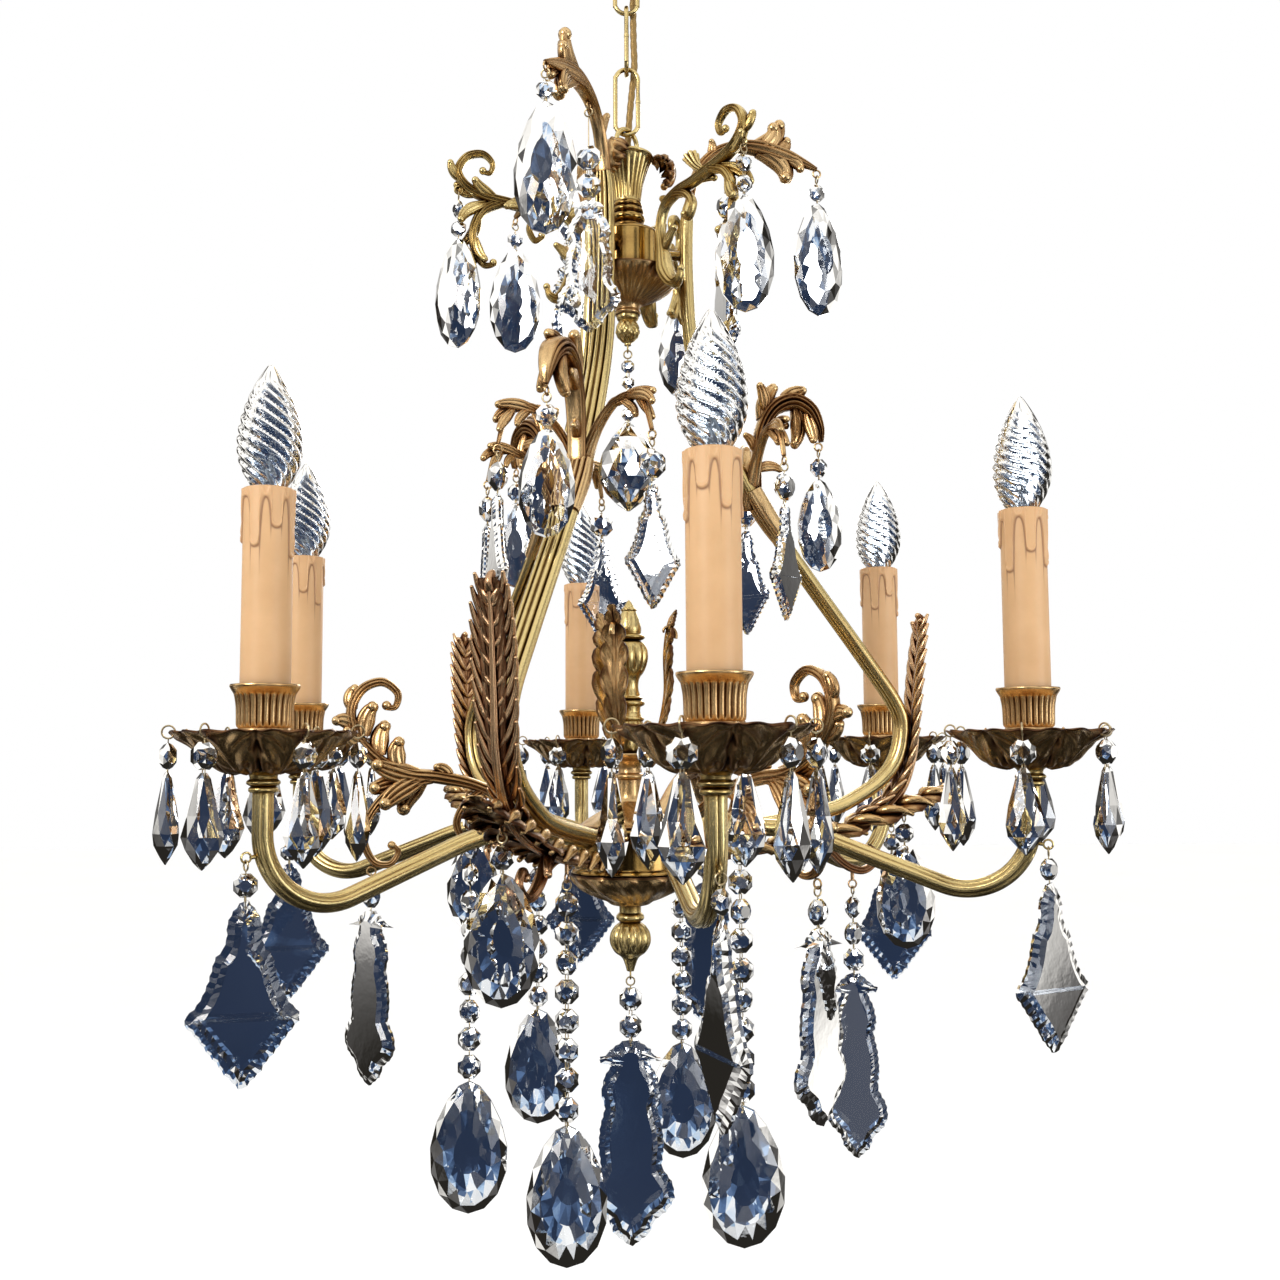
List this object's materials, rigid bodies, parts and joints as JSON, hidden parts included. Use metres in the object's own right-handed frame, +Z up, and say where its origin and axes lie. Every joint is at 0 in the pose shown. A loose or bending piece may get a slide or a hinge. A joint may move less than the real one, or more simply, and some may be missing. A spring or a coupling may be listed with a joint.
{
  "type": "multi arm chandelier",
  "caption": "Cage chandelier with curved candle arms on a hub, leaf castings, bulbs in candle sleeves, and cut crystal drops and strands, hung by a chain from a ceiling hook.",
  "frame": {"origin": "middle of the ceiling plate's top face, where it meets the ceiling", "axes": "+Z up into the ceiling, -Y towards the front view, +X to the front view's right"},
  "size_m": [0.5662, 0.5878, 0.8903],
  "materials": {
    "brass": "aged gilt bronze, satin with darker hollows",
    "aged_brass": "dark brown patina in the hollows, rubbed gilt on the ridges",
    "steel": "zinc plated",
    "lead": "gold-brown twisted lead",
    "wire": "pale insulation",
    "candle": "waxy ivory-tan, with moulded drips",
    "holder": "white thermoplastic",
    "bulb_glass": "clear spiral-cut glass with a brass screw cap",
    "crystal": "clear cut and polished lead crystal on brass pins"
  },
  "bodies": {
    "ceiling": {"ceiling_hook": "steel", "canopy": "brass", "canopy_screws": "brass", "power_cord": "lead"},
    "link_1": {"chain_link_1": "brass"},
    "link_2": {"chain_link_2": "brass"},
    "link_3": {"chain_link_3": "brass"},
    "frame": {"hanging_loop": "brass", "top_cup": "aged_brass", "top_hub": "brass", "top_dome": "aged_brass", "top_finial": "brass", "crown_tridents": "aged_brass", "crown_scrolls": "brass", "stays": "brass", "leaf_sprays": "aged_brass", "acanthus_leaves": "aged_brass", "lower_scrolls": "brass", "lower_hub": "brass", "lower_dish": "aged_brass", "bottom_finial": "brass", "centre_stem": "brass", "column_leaves": "aged_brass", "centre_urn": "brass", "centre_rod": "steel", "arm_1": "brass", "arm_2": "brass", "arm_3": "brass", "arm_4": "brass", "arm_5": "brass", "arm_6": "brass", "arm_wires": "wire", "bobeches": "aged_brass", "candle_cups": "brass", "candle_sleeves": "candle", "lamp_holders": "holder", "bulbs": "bulb_glass", "bobeche_drops": "crystal", "crown_drops": "crystal", "spray_drops": "crystal"},
    "centre_ball": {"centre_ball": "crystal"},
    "bottom_pendant": {"bottom_pendant": "crystal"},
    "arm_pendant_1": {"arm_pendant_1": "crystal"},
    "arm_pendant_2": {"arm_pendant_2": "crystal"},
    "arm_pendant_3": {"arm_pendant_3": "crystal"},
    "arm_pendant_4": {"arm_pendant_4": "crystal"},
    "arm_pendant_5": {"arm_pendant_5": "crystal"},
    "arm_pendant_6": {"arm_pendant_6": "crystal"},
    "scroll_pendant_1": {"scroll_pendant_1": "crystal"},
    "scroll_pendant_2": {"scroll_pendant_2": "crystal"},
    "scroll_pendant_3": {"scroll_pendant_3": "crystal"},
    "leaf_pendant_1": {"leaf_pendant_1": "crystal"},
    "leaf_pendant_2": {"leaf_pendant_2": "crystal"},
    "leaf_pendant_3": {"leaf_pendant_3": "crystal"},
    "strand_1": {"strand_1": "crystal"},
    "strand_2": {"strand_2": "crystal"},
    "strand_3": {"strand_3": "crystal"},
    "strand_4": {"strand_4": "crystal"},
    "strand_5": {"strand_5": "crystal"},
    "strand_6": {"strand_6": "crystal"}
  },
  "joints": [
    {"name": "chain_hinge_1", "type": "hinge", "parent": "ceiling", "child": "link_1", "pos_m": [0, 0, -0.0515], "axis": [1, 0, 0], "range_deg": [-10, 10], "deforming": ["power_cord"]},
    {"name": "chain_hinge_2", "type": "hinge", "parent": "link_1", "child": "link_2", "pos_m": [0, 0, -0.0934], "axis": [0, 1, 0], "range_deg": [-10, 10], "deforming": ["power_cord"]},
    {"name": "chain_hinge_3", "type": "hinge", "parent": "link_2", "child": "link_3", "pos_m": [0, 0, -0.1353], "axis": [1, 0, 0], "range_deg": [-10, 10], "deforming": ["power_cord"]},
    {"name": "chain_hinge_4", "type": "hinge", "parent": "link_3", "child": "frame", "pos_m": [0, 0, -0.177], "axis": [0.7071, 0.7071, 0], "range_deg": [-10, 10], "deforming": ["power_cord"]},
    {"name": "centre_ball_swing", "type": "hinge", "parent": "frame", "child": "centre_ball", "pos_m": [0, 0, -0.3264], "axis": [1, 0, 0], "range_deg": [-8, 8]},
    {"name": "bottom_pendant_swing", "type": "hinge", "parent": "frame", "child": "bottom_pendant", "pos_m": [0, 0, -0.7276], "axis": [1, 0, 0], "range_deg": [-8, 8]},
    {"name": "arm_pendant_1_swing", "type": "hinge", "parent": "frame", "child": "arm_pendant_1", "pos_m": [0.04055, -0.25034, -0.6424], "axis": [0.9871, 0.1599, 0], "range_deg": [-12, 12]},
    {"name": "arm_pendant_2_swing", "type": "hinge", "parent": "frame", "child": "arm_pendant_2", "pos_m": [0.23707, -0.09005, -0.6424], "axis": [0.3551, 0.9348, 0], "range_deg": [-12, 12]},
    {"name": "arm_pendant_3_swing", "type": "hinge", "parent": "frame", "child": "arm_pendant_3", "pos_m": [0.19653, 0.16028, -0.6424], "axis": [-0.632, 0.7749, 0], "range_deg": [-12, 12]},
    {"name": "arm_pendant_4_swing", "type": "hinge", "parent": "frame", "child": "arm_pendant_4", "pos_m": [-0.04055, 0.25034, -0.6424], "axis": [-0.9871, -0.1599, 0], "range_deg": [-12, 12]},
    {"name": "arm_pendant_5_swing", "type": "hinge", "parent": "frame", "child": "arm_pendant_5", "pos_m": [-0.23707, 0.09005, -0.6424], "axis": [-0.3551, -0.9348, 0], "range_deg": [-12, 12]},
    {"name": "arm_pendant_6_swing", "type": "hinge", "parent": "frame", "child": "arm_pendant_6", "pos_m": [-0.19653, -0.16028, -0.6424], "axis": [0.632, -0.7749, 0], "range_deg": [-12, 12]},
    {"name": "scroll_pendant_1_swing", "type": "hinge", "parent": "frame", "child": "scroll_pendant_1", "pos_m": [0.10113, -0.12399, -0.6606], "axis": [0.7749, 0.632, 0], "range_deg": [-8, 8]},
    {"name": "scroll_pendant_2_swing", "type": "hinge", "parent": "frame", "child": "scroll_pendant_2", "pos_m": [0.05682, 0.14957, -0.6606], "axis": [-0.9348, 0.3551, 0], "range_deg": [-8, 8]},
    {"name": "scroll_pendant_3_swing", "type": "hinge", "parent": "frame", "child": "scroll_pendant_3", "pos_m": [-0.15794, -0.02558, -0.6606], "axis": [0.1599, -0.9871, 0], "range_deg": [-8, 8]},
    {"name": "leaf_pendant_1_swing", "type": "hinge", "parent": "frame", "child": "leaf_pendant_1", "pos_m": [-0.06463, -0.17014, -0.6284], "axis": [0.9348, -0.3551, 0], "range_deg": [-6, 6]},
    {"name": "leaf_pendant_2_swing", "type": "hinge", "parent": "frame", "child": "leaf_pendant_2", "pos_m": [0.17966, 0.0291, -0.6284], "axis": [-0.1599, 0.9871, 0], "range_deg": [-6, 6]},
    {"name": "leaf_pendant_3_swing", "type": "hinge", "parent": "frame", "child": "leaf_pendant_3", "pos_m": [-0.11503, 0.14104, -0.6284], "axis": [-0.7749, -0.632, 0], "range_deg": [-6, 6]},
    {"name": "strand_1_swing", "type": "hinge", "parent": "frame", "child": "strand_1", "pos_m": [0.0632, -0.07749, -0.6154], "axis": [0.7749, 0.632, 0], "range_deg": [-6, 6]},
    {"name": "strand_2_swing", "type": "hinge", "parent": "frame", "child": "strand_2", "pos_m": [0.03551, 0.09348, -0.6154], "axis": [-0.9348, 0.3551, 0], "range_deg": [-6, 6]},
    {"name": "strand_3_swing", "type": "hinge", "parent": "frame", "child": "strand_3", "pos_m": [-0.09871, -0.01599, -0.6154], "axis": [0.1599, -0.9871, 0], "range_deg": [-6, 6]},
    {"name": "strand_4_swing", "type": "hinge", "parent": "frame", "child": "strand_4", "pos_m": [-0.03551, -0.09348, -0.6594], "axis": [0.9348, -0.3551, 0], "range_deg": [-6, 6]},
    {"name": "strand_5_swing", "type": "hinge", "parent": "frame", "child": "strand_5", "pos_m": [-0.0632, 0.07749, -0.6594], "axis": [-0.7749, -0.632, 0], "range_deg": [-6, 6]},
    {"name": "strand_6_swing", "type": "hinge", "parent": "frame", "child": "strand_6", "pos_m": [0.14412, 0.02334, -0.6744], "axis": [-0.1599, 0.9871, 0], "range_deg": [-6, 6]}
  ]
}
